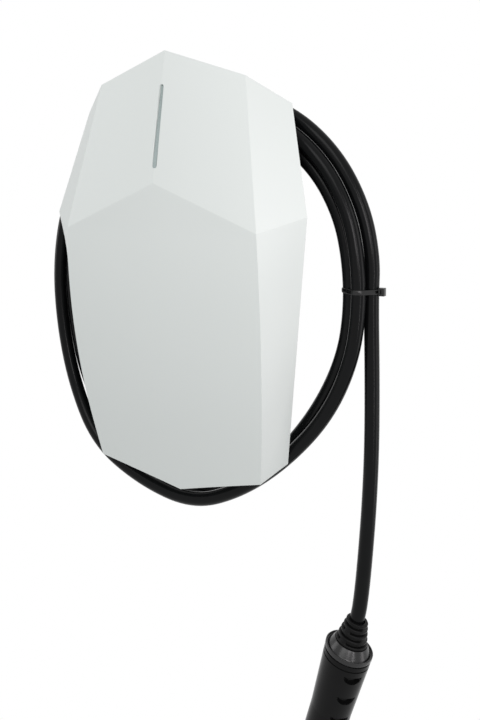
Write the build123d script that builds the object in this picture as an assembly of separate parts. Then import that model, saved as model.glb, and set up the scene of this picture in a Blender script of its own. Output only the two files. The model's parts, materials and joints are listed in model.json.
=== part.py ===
"""Wall-hung charging box for electric cars, with its cable wound round the housing.

Millimetres. The wall is the plane y = 0 and the front faces -Y. +Z is up and +X is right,
seen from the front. The origin is the middle of the wall bracket's hole pattern, on the wall.
"""
from build123d import *
import os
from math import cos, hypot, pi, radians, sin, tan

os.makedirs("parts", exist_ok=True)

# Fits
clear = 0.3             # seats and flat faces that meet with a small gap
thread_clear = 0.25     # round shanks in their holes
spare = 30.0            # how far cutting bodies run past what they cut

# Front cover: corners of its facets, as half width, share of the cover's depth beyond its rim,
# and height. The shares down the front are parts of the crease's.
cover_wall = 3.0
front_room = 39.9       # from the housing's lid to the foremost corner
tip_height = 69.5       # foremost corner, in the middle of the crease across the front
crease_half, crease_share, crease_height = 114.2, 0.9326, 22.0    # the crease's two ends
top_half, top_share, top_height = 88.0, 0.5997, 175.1             # upper corners of the front
brow_half, brow_share, brow_height = 126.3, 0.2655, 148.4         # shoulders of the outline
waist_half, waist_share, waist_height = 152.3, 0.5052, 37.0       # widest corners
peak_height = 204.6     # middle of the top edge
chin_part, chin_height = 0.3472, -254.4                           # middle of the bottom edge
foot_half, foot_part, foot_height = 98.3, 0.4097, -230.5          # lower corners of the front
heel_half, heel_share, heel_height = 115.0, 0.0337, -215.0        # lower corners of the outline
belly = [(115.0, 0.9430, -31.0), (113.4, 0.8459, -89.0), (108.8, 0.6875, -150.0)]
belly_low = (104.2, 0.5542, -190.0)
rim_gap = 3.0           # from the coil to the cover's open back edge
back_draft = 0.51       # inward slope of the walls behind the waist
top_draft = 0.05        # downward slope of the top walls towards the wall
seat_x, seat_low, seat_high, seat_radius = 58.0, -94.0, 92.0, 5.0     # posts on the lid
shelf_x, shelf_width, shelf_back = 50.0, 24.0, 62.0     # shelves over and under the housing
cover_screw_depth = 74.0

# Light strip in its slot, on the middle of the upper front, and the board behind it
slot_width, slot_top, slot_bottom = 4.2, 169.5, 84.5
lens_flange, lens_flange_thick = 3.0, 2.0       # flange beyond the slot, each way
lens_clear, lens_recess = 0.1, 0.3
pad_margin, pad_thick = 5.0, 1.2                # flat pad round the slot, behind the wall
led_board_thick, led_board_width, led_count = 1.2, 9.0, 10
led_size, led_height = 3.0, 1.2
led_bite = 4.0          # thread length of the board's screws

# Screws: thread radius, head radius, head height
m2 = (1.0, 1.9, 1.5)
m3 = (1.5, 2.8, 2.2)
m4 = (2.0, 3.8, 2.8)
led_screw = (1.1, 2.2, 1.4)
screw_bite = 8.0        # thread length in its boss

# Housing and lid
housing_width, housing_top, housing_bottom = 180.0, 125.0, -120.0
housing_back, housing_front = 12.0, 88.0        # depths of its back and of its front edge
housing_wall, housing_corner = 3.0, 30.0
flange_wide, flange_corner, flange_thick = 14.0, 34.0, 6.0
seal_inset, seal_corner, seal_width, seal_groove = 7.5, 40.0, 3.0, 2.0
lid_thick = 3.0
lid_screw_inset, lid_boss_radius = 14.0, 4.0
rib_gap, rib_deep = 1.0, 3.0                    # rib of the lid inside the flange
floor_boss = 10.0       # height of the screw bosses on the floor
stud_x, stud_z, stud_radius, stud_nut = -66.0, -62.0, 3.0, 10.0       # earth stud
stud_boss, stud_base, stud_length = 7.0, 6.0, 18.0

# Wall bracket
bracket_width, bracket_top, bracket_thick, bracket_corner = 160.0, 95.0, 2.0, 6.0
bracket_hole, hole_span_x, hole_span_z = 3.25, 120.0, 140.0
bracket_leg = 36.0      # height of the cut-out between the two legs
window_width, window_height, window_z = 70.0, 90.0, 0.0
hook_x, hook_width, hook_height, hook_z = 48.0, 26.0, 20.0, 58.0
hook_gap, hook_arm, hook_lip = 4.0, 4.0, 12.0   # gap behind the hooks; the housing's lips
tab_x, tab_width, tab_reach, tab_screw_depth = 60.0, 22.0, 30.0, 22.0

# Boards
board_thick, boss_radius, board_screw_inset, block_edge = 1.6, 4.0, 6.0, 1.5
power_width, power_height, power_z, power_standoff = 148.0, 118.0, 29.0, 12.0
relay_size, relay_edge, relay_z, relay_gap = (32.0, 28.0, 52.0), 16.0, 58.0, 18.0
module_edge, module_gap, module_deep, module_high, module_z = 15.0, 5.0, 22.0, 52.0, 58.0
sensor_radius, sensor_length, sensor_x, sensor_z = 15.0, 12.0, 46.0, 4.5
terminal_pitch, terminal_count = 10.0, 5
terminal_height, terminal_reach, terminal_x, terminal_z = 22.0, 20.0, 46.0, -8.0
wire_bite = 8.0         # length of a core inside its terminal
control_width, control_height, control_z = 138.0, 60.0, 50.0
spacer_radius, spacer_length, spacer_inset = 3.0, 32.0, 5.0
shield_size, shield_x, shield_z = (26.0, 3.2, 18.0), 28.0, 62.0
header_size, header_count, header_x = (16.0, 8.0, 6.0), 4, -34.0
reader_width, reader_height, reader_z, reader_inset = 62.0, 46.0, -50.0, 5.0
reader_standoff = 4.0

# Entries in the housing's floor
entry_x, supply_x, vent_x = 30.0, -30.0, 0.0
gland_thread, gland_hex, gland_hex_high, gland_inner = 12.5, 30.0, 6.0, 8.0
nut_radius, nut_high = 14.5, 13.0
locknut_hex, locknut_high = 32.0, 5.0
relief_top, relief_end, relief_high = 11.0, 9.6, 20.0
relief_slots, relief_slot = 3, 1.6
seal_wall = 1.6         # of the rubber ring round the cable
plug_head = 4.0
vent_radius, vent_high, vent_nut_high = 6.0, 7.0, 4.0

# Cable: its end in the housing, its lead to the coil, the coil and the hanging stretch
cable = 15.0            # diameter
jacket_inside = 12.0    # length that stands beyond the gland, inside
core_radius, cores, core_ring = 1.9, 5, 4.4
lead_straight, lead_bend = 12.0, 10.0           # of the cores
lead_run, lead_turn, lead_runs = 43.0, 30.0, 3
coil_depth = 38.0       # of the coil's middle in front of the wall
coil_wide, coil_deep = 42.0, 26.0               # section of the coil, in its plane and across it
coil_route = [(-95.0, 150.4), (95.0, 150.4), (183.0, 48.0), (183.0, -100.0), (75.0, -261.0),
              (-95.0, -261.0), (-183.0, -130.0), (-183.0, 48.0)]
drop_x, drop_depth = 195.8, 37.75               # strand beside the tie
drop_route = [(195.8, -44.0), (197.4, -118.0), (197.6, -190.0), (195.2, -250.0), (191.4, -302.0),
              (187.9, -340.0), (184.0, -366.0)]
tie_z, tie_wide, tie_thick, tie_offset = -36.0, 4.8, 1.3, 12.8
tie_head = (7.5, 6.0, 5.6)

# Connector, from the top of its boot
boot_top = (184.0, -37.75, -366.0)
connector_tilt = 16.0   # degrees, the connector's lower end leans towards the box
boot_length, boot_narrow, boot_wide, boot_ribs, boot_groove = 24.0, 10.5, 16.0, 4, 1.6
nut_cone, collar_radius, collar_thick = 8.0, 24.4, 3.0
neck_high, thread_high, rim_high, rim_groove = 2.0, 11.0, 3.6, 0.8
grip_top, grip_narrow, grip_taper, grip_length, grip_wall = 24.0, 21.0, 63.0, 146.0, 3.0
recess_first, recess_pitch, recess_count = 15.0, 24.0, 5
recess_radius, recess_high, recess_deep, recess_turn = 9.0, 4.6, 3.2, 45.0
head_length, head_radius, head_flat, head_flare, head_step = 56.0, 31.0, 24.5, 20.0, 2.0
carrier_radius, carrier_length, carrier_recess, socket_gap = 24.0, 38.0, 2.0, 3.0
contact_bore, pilot_bore, contact_deep, contact_sunk = 4.4, 2.9, 26.0, 4.0
contact_span, contact_drop, pilot_span, pilot_rise = 15.0, 13.0, 13.0, 12.0

jacket_top = housing_bottom + housing_wall + gland_inner + jacket_inside
half = housing_width / 2
housing_mid = (housing_top + housing_bottom) / 2
housing_high = housing_top - housing_bottom
inner_back = housing_back + housing_wall
lid_back = housing_front + clear
lid_front = lid_back + lid_thick
cover_rim = coil_depth + coil_deep / 2 + rim_gap
cover_depth = lid_front + front_room
power_back = inner_back + power_standoff
power_front = power_back + board_thick
control_back = power_front + spacer_length
control_front = control_back + board_thick
relay_x = power_width / 2 - relay_edge - relay_size[0] / 2 - relay_gap
module_left = module_edge - power_width / 2
module_right = relay_x - relay_gap - relay_size[0] / 2 - module_gap

on_end = (Align.CENTER, Align.CENTER, Align.MIN)
under = (Align.CENTER, Align.CENTER, Align.MAX)


def box(x, y, z):
    """Box between pairs of limits, where y is a depth in front of the wall."""
    size = (x[1] - x[0], y[1] - y[0], z[1] - z[0])
    middle = ((x[0] + x[1]) / 2, -(y[0] + y[1]) / 2, (z[0] + z[1]) / 2)
    return Pos(*middle) * Box(*size)


def along_y(profile, near, far):
    """Sketch in x and z, extruded from one depth to another."""
    plane = Plane(origin=(0, -far, 0), x_dir=(1, 0, 0), z_dir=(0, -1, 0))
    return plane * extrude(profile, -(far - near))


def rod(x, z, radius, near, far):
    """Cylinder along Y between two depths."""
    return along_y(Pos(x, z) * Circle(radius), near, far)


def screw(size, length):
    """Pan-head screw along -Z with its seat at the origin and a hex socket."""
    thread, head, high = size
    body = Cylinder(head, high, align=on_end) + Cylinder(thread, length, align=under)
    socket = extrude(Pos(0, 0, high * 0.4) * RegularPolygon(thread * 0.8, 6), high)
    return body - socket


def group(solids):
    """Separate solids of one node."""
    return Compound(children=list(solids))


def inset_path(path, inset):
    """Open path moved to its right, with sharp corners kept."""
    lines = []
    for (x0, y0), (x1, y1) in zip(path, path[1:]):
        run = hypot(x1 - x0, y1 - y0)
        dx, dy = (x1 - x0) / run, (y1 - y0) / run
        lines.append((x0 + dy * inset, y0 - dx * inset, dx, dy))
    moved = [lines[0][:2]]
    for (ax, ay, adx, ady), (bx, by, bdx, bdy) in zip(lines, lines[1:]):
        along = ((bx - ax) * bdy - (by - ay) * bdx) / (adx * bdy - ady * bdx)
        moved.append((ax + along * adx, ay + along * ady))
    return moved


# Front cover

def depth_at(share):
    """Depth in front of the wall of a share of the cover beyond its rim."""
    return cover_rim + share * (cover_depth - cover_rim)


def corner(side, half_width, share, height):
    return Vector(side * half_width, -depth_at(share), height)


tip = corner(0, 0, 1, tip_height)
chin = corner(0, 0, crease_share * chin_part, chin_height)
waist_depth, heel_depth = depth_at(waist_share), depth_at(heel_share)


def cover_section(height, crease, inset):
    """Section of the lower cover: front, chamfers and drafted back walls."""
    crease_x, crease_y = crease
    along = (height - waist_height) / (heel_height - waist_height)
    edge_x = waist_half + along * (heel_half - waist_half)
    edge_y = waist_depth + along * (heel_depth - waist_depth)
    back_y = cover_rim - spare
    back_x = edge_x - back_draft * (edge_y - back_y)
    path = [(back_x, -back_y), (edge_x, -edge_y), (crease_x, -crease_y), (0, -crease_y)]
    right = inset_path(path, inset)[:3]
    left = [(-x, y) for x, y in reversed(right)]
    return Pos(0, 0, height) * make_face(Polyline(*right, *left, close=True))


def belly_creases():
    """Half width, depth and height of the creases down the front, beyond its ends too."""
    crease_depth = depth_at(crease_share)
    slope = (crease_depth - cover_depth) / (crease_height - tip_height)
    rise = peak_height - tip_height + spare
    rows = [(crease_half, cover_depth + slope * rise, tip_height + rise)]
    rows.append((crease_half, cover_depth, tip_height))
    rows.append((crease_half, crease_depth, crease_height))
    rows += [(x, depth_at(crease_share * part), z) for x, part, z in belly + [belly_low]]
    foot_depth = depth_at(crease_share * foot_part)
    rows.append((foot_half, foot_depth, foot_height))
    below = foot_height - chin_height + spare
    narrowing = (belly_low[0] - foot_half) / (belly_low[2] - foot_height)
    lean = (foot_depth + chin.Y) / (foot_height - chin_height)
    rows.append((foot_half - narrowing * below, foot_depth - lean * below, foot_height - below))
    return rows


def facet(p, q, r):
    """Plane through three corners, facing out of the cover."""
    out = (q - p).cross(r - p).normalized()
    if out.dot(p - Vector(0, -cover_rim, 0)) < 0:
        out = -out
    return Plane(origin=p, z_dir=out)


def cover_facets():
    facets = []
    for side in (-1, 1):
        top = corner(side, top_half, top_share, top_height)
        brow = corner(side, brow_half, brow_share, brow_height)
        waist = corner(side, waist_half, waist_share, waist_height)
        crease = corner(side, crease_half, crease_share, crease_height)
        foot = corner(side, foot_half, crease_share * foot_part, foot_height)
        heel = corner(side, heel_half, heel_share, heel_height)
        back = Vector(0, spare, -spare * top_draft)
        facets.append(facet(tip, crease, top))
        facets.append(facet(crease, waist, top))
        facets.append(facet(top, brow, top + back))
        facets.append(facet(Vector(0, top.Y, peak_height), top, top + back))
        facets.append(facet(waist, brow, waist + Vector(-side * back_draft * spare, spare, 0)))
        facets.append(facet(chin, foot, heel))
    return facets


def cover_solid(inset):
    rows = belly_creases()
    body = loft([cover_section(z, (x, y), inset) for x, y, z in rows])
    for plane in cover_facets():
        reach = 4 * waist_half + spare
        keep_out = Box(2 * reach, 2 * reach, reach, align=on_end)
        body -= plane.offset(-inset) * keep_out
    return body


def ridge_plane():
    """Plane on the ridge at the slot's middle: local y runs up the ridge, z points out."""
    top = corner(1, top_half, top_share, top_height)
    crease = corner(1, crease_half, crease_share, crease_height)
    along = facet(tip, crease, top).z_dir.cross(Vector(1, 0, 0)).normalized()
    if along.Z < 0:
        along = -along
    middle = tip + along * (((slot_top + slot_bottom) / 2 - tip_height) / along.Z)
    out = Vector(1, 0, 0).cross(along)
    return Plane(origin=middle, x_dir=(1, 0, 0), z_dir=out)


ridge = ridge_plane()
slot_length = (slot_top - slot_bottom) / ridge.y_dir.Z
pad_back = cover_wall + pad_thick
lens_back = pad_back + lens_flange_thick
led_board_front = lens_back + led_height + clear
led_boss_y = slot_length / 2 + pad_margin + boss_radius + clear
led_board_length = 2 * (led_boss_y + boss_radius)


def slot(width, length, deep, shallow):
    """Round-ended bar along the ridge, between two depths under its surface."""
    shape = SlotOverall(length, width, rotation=90)
    return ridge * Pos(0, 0, -deep) * extrude(shape, deep - shallow)


def seat_posts():
    """Where the cover's posts stand on the lid, in x and z."""
    return [(x, z) for x in (-seat_x, seat_x) for z in (seat_low, seat_high)]


def front_cover():
    outer = cover_solid(0)
    behind = box((-waist_half, waist_half), (-spare, cover_rim), (chin_height, peak_height))
    shell = outer - cover_solid(cover_wall) - behind
    inside = slot(slot_width + 2 * pad_margin, slot_length + 2 * pad_margin, pad_back, 1)
    for y in (-led_boss_y, led_boss_y):
        boss = Cylinder(boss_radius, led_board_front - 1, align=on_end)
        inside += ridge * Pos(0, y, -led_board_front) * boss
    for x, z in seat_posts():
        inside += rod(x, z, seat_radius, lid_front + clear, cover_depth)
    for side in (-1, 1):
        x = (side * shelf_x - shelf_width / 2, side * shelf_x + shelf_width / 2)
        over = (housing_top + clear, housing_top + clear + cover_wall)
        under = (housing_bottom - clear - cover_wall, housing_bottom - clear)
        inside += box(x, (shelf_back, cover_depth), over)
        inside += box(x, (shelf_back, cover_depth), under)
    cover = shell + (inside & outer)
    cover -= slot(slot_width, slot_length, pad_back + 1, -spare)
    for y in (-led_boss_y, led_boss_y):
        hole = Cylinder(led_screw[0] + thread_clear, led_bite, align=on_end)
        cover -= ridge * Pos(0, y, -led_board_front) * hole
    for x, z in seat_posts():
        cover -= rod(x, z, seat_radius / 2, lid_front, lid_front + clear + seat_radius)
    for side in (-1, 1):
        hole = Cylinder(m4[0] + thread_clear, spare)
        cover -= Pos(side * shelf_x, -cover_screw_depth, housing_bottom) * hole
    return cover


def light_strip():
    neck = slot(slot_width - 2 * lens_clear, slot_length - 2 * lens_clear, pad_back, lens_recess)
    edge = 2 * lens_flange
    return neck + slot(slot_width + edge, slot_length + edge, lens_back, pad_back)


def light_board():
    strip = Box(led_board_width, led_board_length, led_board_thick, align=under)
    pitch = slot_length / led_count
    for i in range(led_count):
        led = Box(led_size, led_size, led_height, align=on_end)
        strip += Pos(0, (i - (led_count - 1) / 2) * pitch, 0) * led
    for y in (-led_boss_y, led_boss_y):
        strip -= Pos(0, y, 0) * Cylinder(led_screw[0] + thread_clear, spare)
    return ridge * Pos(0, 0, -led_board_front) * strip


def light_board_screws():
    back = led_board_front + led_board_thick
    behind = ridge * Pos(0, 0, -back) * Rot(180, 0, 0)
    length = led_board_thick + led_bite - clear
    return group(behind * Pos(0, y, 0) * screw(led_screw, length) for y in (-led_boss_y, led_boss_y))


# Housing

def outline(inset, radius):
    """Rounded outline of the housing, moved inwards."""
    return Pos(0, housing_mid) * RectangleRounded(
        housing_width - 2 * inset, housing_high - 2 * inset, radius)


def lid_screw_places():
    return [(side * (half - lid_screw_inset), z) for side in (-1, 1)
            for z in (housing_bottom + lid_screw_inset, housing_top - lid_screw_inset)]


def board_corners(width, height, middle_z, inset):
    return [(x, z) for x in (-width / 2 + inset, width / 2 - inset)
            for z in (middle_z - height / 2 + inset, middle_z + height / 2 - inset)]


def power_places():
    return board_corners(power_width, power_height, power_z, board_screw_inset)


def control_places():
    return board_corners(control_width, control_height, control_z, spacer_inset)


def upright(x, depth, radius, low, high):
    """Cylinder along Z at a depth in front of the wall."""
    return Pos(x, -depth, low) * Cylinder(radius, high - low, align=on_end)


floor_top = housing_bottom + housing_wall
boss_top = floor_top + floor_boss
hook_top = hook_z + hook_height


def back_housing():
    case = along_y(outline(0, housing_corner), housing_back, housing_front)
    case -= along_y(outline(housing_wall, housing_corner - housing_wall), inner_back, housing_front + 1)
    flange = outline(0, housing_corner) - outline(flange_wide, flange_corner)
    case += along_y(flange, housing_front - flange_thick, housing_front)
    for x, z in lid_screw_places():
        post = rod(x, z, lid_boss_radius, housing_front - flange_thick - screw_bite, housing_front)
        case += post
    for x, z in power_places():
        case += rod(x, z, boss_radius, inner_back - 1, power_back)
    for side in (-1, 1):
        case += upright(side * shelf_x, cover_screw_depth, boss_radius, floor_top - 1, boss_top)
        case += upright(side * tab_x, tab_screw_depth, boss_radius, floor_top - 1, boss_top)
        hook = (side * hook_x - hook_width / 2, side * hook_x + hook_width / 2)
        lip = (bracket_thick + clear, bracket_thick + hook_gap - clear)
        case += box(hook, (lip[0], housing_back + 1), (hook_top + clear, hook_top + clear + hook_arm))
        case += box(hook, lip, (hook_top - hook_lip, hook_top + clear + hook_arm))
    case += rod(stud_x, stud_z, stud_boss, inner_back - 1, inner_back + stud_base)
    groove = outline(seal_inset, seal_corner) - outline(seal_inset + seal_width, seal_corner - seal_width)
    case -= along_y(groove, housing_front - seal_groove, housing_front + 1)
    for x, z in lid_screw_places():
        case -= rod(x, z, m4[0] + thread_clear, housing_front - screw_bite - clear, housing_front + 1)
    for x, z in power_places():
        case -= rod(x, z, m3[0] + thread_clear, power_back - screw_bite - clear, power_back + 1)
    case -= rod(stud_x, stud_z, stud_radius + thread_clear, inner_back, inner_back + stud_base + 1)
    for side in (-1, 1):
        for x, depth in ((side * shelf_x, cover_screw_depth), (side * tab_x, tab_screw_depth)):
            case -= upright(x, depth, m4[0] + thread_clear, housing_bottom - 1, floor_top + screw_bite)
    for x in (entry_x, supply_x):
        case -= upright(x, coil_depth, gland_thread + thread_clear, housing_bottom - 1, floor_top + 1)
    case -= upright(vent_x, coil_depth, vent_radius + thread_clear, housing_bottom - 1, floor_top + 1)
    return case


def lid_seal():
    ring = outline(seal_inset + thread_clear, seal_corner)
    ring -= outline(seal_inset + seal_width - thread_clear, seal_corner - seal_width)
    return along_y(ring, housing_front - seal_groove, lid_back)


def reader_places():
    return board_corners(reader_width, reader_height, reader_z, reader_inset)


def housing_lid():
    lid = along_y(outline(0, housing_corner), lid_back, lid_front)
    inner = outline(flange_wide + rib_gap, flange_corner)
    ring = inner - outline(flange_wide + rib_gap + housing_wall, flange_corner - housing_wall)
    lid += along_y(ring, lid_back - rib_deep, lid_back)
    for x, z in reader_places():
        lid += rod(x, z, spacer_radius, lid_front - 1, lid_front + reader_standoff)
        lid -= rod(x, z, m2[0] + thread_clear, lid_front, lid_front + reader_standoff + 1)
    for x, z in lid_screw_places():
        lid -= rod(x, z, m4[0] + thread_clear, lid_back - 1, lid_front + 1)
    return lid


def screws_forward(size, places, seat, length):
    """Screws driven towards the wall, their heads on a face at the given depth."""
    turned = Rot(90, 0, 0) * screw(size, length)
    return group(Pos(x, -seat, z) * turned for x, z in places)


def lid_screws():
    return screws_forward(m4, lid_screw_places(), lid_front, lid_thick + clear + screw_bite)


def screws_up(size, places, seat, length):
    """Screws driven upwards, at x and depth, their heads under a face at the given height."""
    turned = Rot(180, 0, 0) * screw(size, length)
    return group(Pos(x, -depth, seat) * turned for x, depth in places)


def cover_screws():
    seat = housing_bottom - clear - cover_wall
    places = [(side * shelf_x, cover_screw_depth) for side in (-1, 1)]
    return screws_up(m4, places, seat, cover_wall + clear + housing_wall + screw_bite)


# Wall bracket

tab_top = housing_bottom - clear
tab_low = tab_top - bracket_thick


def wall_bracket():
    low, high = tab_low, bracket_top
    plate = Pos(0, (low + high) / 2) * RectangleRounded(bracket_width, high - low, bracket_corner)
    plate -= Pos(0, low) * Rectangle(2 * (tab_x - tab_width / 2), 2 * bracket_leg)
    plate -= Pos(0, window_z) * RectangleRounded(window_width, window_height, bracket_corner)
    for x in (-hole_span_x / 2, hole_span_x / 2):
        for z in (-hole_span_z / 2, hole_span_z / 2):
            plate -= Pos(x, z) * Circle(bracket_hole)
    bracket = along_y(plate, 0, bracket_thick)
    tongue = (bracket_thick + hook_gap, 2 * bracket_thick + hook_gap)
    for side in (-1, 1):
        hook = (side * hook_x - hook_width / 2, side * hook_x + hook_width / 2)
        bracket += box(hook, (0, tongue[1]), (hook_z, hook_z + bracket_thick))
        bracket += box(hook, tongue, (hook_z, hook_top))
        tab = (side * tab_x - tab_width / 2, side * tab_x + tab_width / 2)
        bracket += box(tab, (0, tab_reach), (tab_low, tab_top))
        bracket -= upright(side * tab_x, tab_screw_depth, m4[0] + thread_clear, tab_low - 1, tab_top + 1)
    return bracket


def bracket_screws():
    places = [(side * tab_x, tab_screw_depth) for side in (-1, 1)]
    return screws_up(m4, places, tab_low, bracket_thick + clear + housing_wall + screw_bite)


# Boards and what stands on them

def board(width, height, middle_z, near, holes, radius):
    plate = Pos(0, middle_z) * RectangleRounded(width, height, 2 * board_thick)
    for x, z in holes:
        plate -= Pos(x, z) * Circle(radius)
    return along_y(plate, near, near + board_thick)


def power_board():
    body = board(power_width, power_height, power_z, power_back, power_places(), m3[0] + thread_clear)
    for x, z in control_places():
        body -= rod(x, z, m3[0] + thread_clear, power_back - 1, power_front + 1)
    return body


def board_screws():
    return screws_forward(m3, power_places(), power_front, board_thick + screw_bite)


def block(size, x, z, near, edge):
    """Moulded block standing on a board: width, depth and height, with rounded front edges."""
    wide, deep, high = size
    body = box((x - wide / 2, x + wide / 2), (near, near + deep), (z - high / 2, z + high / 2))
    front = body.faces().sort_by(Axis.Y)[0]
    return fillet(front.edges(), edge)


def relays():
    return group(block(relay_size, relay_x + side * relay_gap, relay_z, power_front, block_edge)
                 for side in (-1, 1))


def power_module():
    size = (module_right - module_left, module_deep, module_high)
    return block(size, (module_left + module_right) / 2, module_z, power_front, block_edge)


def current_sensor():
    """Closed drum of the residual current sensor, with its conductors moulded in."""
    depth = power_front + sensor_radius
    drum = upright(sensor_x, depth, sensor_radius, sensor_z, sensor_z + sensor_length)
    foot = (sensor_x - sensor_radius * 0.8, sensor_x + sensor_radius * 0.8)
    return drum + box(foot, (power_front, depth), (sensor_z, sensor_z + sensor_length))


def terminal_middles(x):
    return [x + (i - (terminal_count - 1) / 2) * terminal_pitch for i in range(terminal_count)]


terminal_low = terminal_z - terminal_height / 2
wire_depth = power_front + terminal_reach * 0.4


def terminals(x):
    size = (terminal_count * terminal_pitch, terminal_reach, terminal_height)
    body = block(size, x, terminal_z, power_front, 1.0)
    for middle in terminal_middles(x):
        body -= upright(middle, wire_depth, core_radius + clear, terminal_low - 1, terminal_low + wire_bite)
        body -= rod(middle, terminal_z + terminal_pitch * 0.2, terminal_pitch * 0.25,
                    power_front + terminal_reach * 0.7, power_front + terminal_reach + 1)
    return body


def control_board():
    body = board(control_width, control_height, control_z, control_back, control_places(),
                 m3[0] + thread_clear)
    for i in range(header_count):
        body += block(header_size, header_x + i * header_size[0] * 1.4, control_z - control_height * 0.3,
                      control_front, 0.8)
    return body


def board_spacers():
    """Hexagonal pillars with a stud at the power board and a thread at the other end."""
    pillars = []
    for x, z in control_places():
        pillar = along_y(Pos(x, z) * RegularPolygon(spacer_radius, 6), power_front, control_back)
        pillar += rod(x, z, m3[0], power_back - board_thick, power_front)
        pillars.append(pillar - rod(x, z, m3[0] + thread_clear, control_back - screw_bite - clear,
                                    control_back + 1))
    return group(pillars)


def control_screws():
    return screws_forward(m3, control_places(), control_front, board_thick + screw_bite)


def radio_module():
    return block(shield_size, shield_x, shield_z, control_front, 0.5)


def card_reader_board():
    near = lid_front + reader_standoff
    return board(reader_width, reader_height, reader_z, near, reader_places(), m2[0] + thread_clear)


def card_reader_screws():
    seat = lid_front + reader_standoff + board_thick
    return screws_forward(m2, reader_places(), seat, board_thick + reader_standoff - 2 * clear)


def earth_stud():
    stud = rod(stud_x, stud_z, stud_radius, inner_back + clear, inner_back + stud_base + stud_length)
    return stud


def nut_along_y(x, z, across, bore, near, far):
    shape = Pos(x, z) * (RegularPolygon(across / 2, 6, major_radius=False) - Circle(bore))
    return along_y(shape, near, far)


def earth_nut():
    near = inner_back + stud_base
    return nut_along_y(stud_x, stud_z, stud_nut, stud_radius + thread_clear, near, near + stud_nut / 2)


# Glands and vent in the floor

hex_low = housing_bottom - gland_hex_high
nut_low = hex_low - nut_high
relief_low = nut_low - relief_high
cable_radius = cable / 2


def hex_along_z(x, depth, across, low, high):
    shape = RegularPolygon(across / 2, 6, major_radius=False)
    return Pos(x, -depth, low) * extrude(shape, high - low)


def gland_body(x):
    body = hex_along_z(x, coil_depth, gland_hex, hex_low, housing_bottom)
    body += upright(x, coil_depth, gland_thread, hex_low - nut_high / 2, floor_top + gland_inner)
    body -= upright(x, coil_depth, cable_radius + clear, hex_low - nut_high, floor_top + gland_inner + 1)
    socket = cable_radius + seal_wall + clear
    return body - upright(x, coil_depth, socket, hex_low - nut_high, hex_low)


def dome_nut(x):
    """Turned nut with a rounded nose, over the lower thread of its gland."""
    bore = cable_radius + clear
    nose = nut_high * 0.35
    profile = [(gland_thread + thread_clear, 0), (nut_radius, 0), (nut_radius, nose - nut_high),
               (nut_radius * 0.86, -nut_high), (bore, -nut_high), (bore, -nut_high * 0.7),
               (gland_thread + thread_clear, -nut_high * 0.55)]
    return Pos(x, -coil_depth, hex_low) * turned(profile)


def turned(profile):
    """Body of revolution about Z from radii and heights."""
    return revolve(Plane.XZ * make_face(Polyline(*profile, close=True)), Axis.Z)


def gland_seal(x):
    low, high = hex_low - nut_high * 0.5, hex_low
    ring = upright(x, coil_depth, cable_radius + seal_wall, low, high)
    return ring - upright(x, coil_depth, cable_radius + thread_clear / 2, low - 1, high + 1)


def locknut(x):
    top = floor_top + locknut_high
    nut = hex_along_z(x, coil_depth, locknut_hex, floor_top, top)
    return nut - upright(x, coil_depth, gland_thread + thread_clear, floor_top - 1, top + 1)


def supply_gland_plug():
    """Blank that closes the supply entry until its cable is fitted."""
    pin = upright(supply_x, coil_depth, cable_radius, nut_low, floor_top + gland_inner)
    return pin + upright(supply_x, coil_depth, nut_radius * 0.8, nut_low - plug_head, nut_low)


def cable_end():
    """The cable's end inside the box, from the mouth of its bend relief."""
    return upright(entry_x, coil_depth, cable_radius, relief_low, jacket_top)


def bend_relief():
    sleeve = turned([(cable_radius + thread_clear / 2, 0), (relief_top, 0), (relief_end, -relief_high),
                     (cable_radius + thread_clear / 2, -relief_high)])
    for i in range(relief_slots):
        z = -relief_high * (i + 1) / (relief_slots + 1)
        ring = Cylinder(relief_top + 1, relief_slot) - Cylinder(cable_radius + seal_wall / 2, relief_slot)
        sleeve -= Pos(0, 0, z) * ring
    return Pos(entry_x, -coil_depth, nut_low) * sleeve


def vent_plug():
    stem = upright(vent_x, coil_depth, vent_radius, housing_bottom, floor_top + vent_nut_high + 1)
    return stem + upright(vent_x, coil_depth, vent_radius * 1.5, housing_bottom - vent_high, housing_bottom)


def vent_nut():
    nut = hex_along_z(vent_x, coil_depth, vent_radius * 3, floor_top, floor_top + vent_nut_high)
    return nut - upright(vent_x, coil_depth, vent_radius + thread_clear, floor_top - 1, boss_top)


def inner_leads():
    """Cores of the cable, from its end up to the terminals."""
    leads = []
    ring = core_ring
    starts = sorted((ring * sin(2 * pi * i / cores), ring * cos(2 * pi * i / cores)) for i in range(cores))
    for (dx, dy), x in zip(starts, terminal_middles(terminal_x)):
        low = Vector(entry_x + dx, -coil_depth + dy, jacket_top)
        high = Vector(x, -wire_depth, terminal_low + wire_bite - clear)
        first = low + Vector(0, 0, lead_straight)
        last = high - Vector(0, 0, lead_straight + wire_bite)
        path = FilletPolyline(low, first, last, high, radius=lead_bend)
        leads.append(sweep(Plane(path @ 0, z_dir=path % 0) * Circle(core_radius), path))
    return group(leads)


# Cable

def bend_radii(points, closed=False):
    """Radius of the arc at each corner of a route, as large as its runs allow."""
    count = len(points)
    corners = range(count) if closed else range(1, count - 1)
    radii = []
    for i in corners:
        before = points[i] - points[i - 1]
        after = points[(i + 1) % count] - points[i]
        half_turn = radians(before.get_angle(after)) / 2
        radii.append(0.45 * min(before.length, after.length) / tan(half_turn))
    return radii


def cable_tube(name, points):
    radii = bend_radii(points)
    path = FilletPolyline(*points, radius=radii)
    tube = sweep(Plane(path @ 0, z_dir=path % 0) * Circle(cable_radius), path)
    exact = pi * cable_radius ** 2 * path.length
    print(f"{name}: {path.length:.0f} mm, radii {[round(r) for r in radii]}, "
          f"volume {tube.volume / exact:.4f} of section times length")
    return tube


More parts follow.
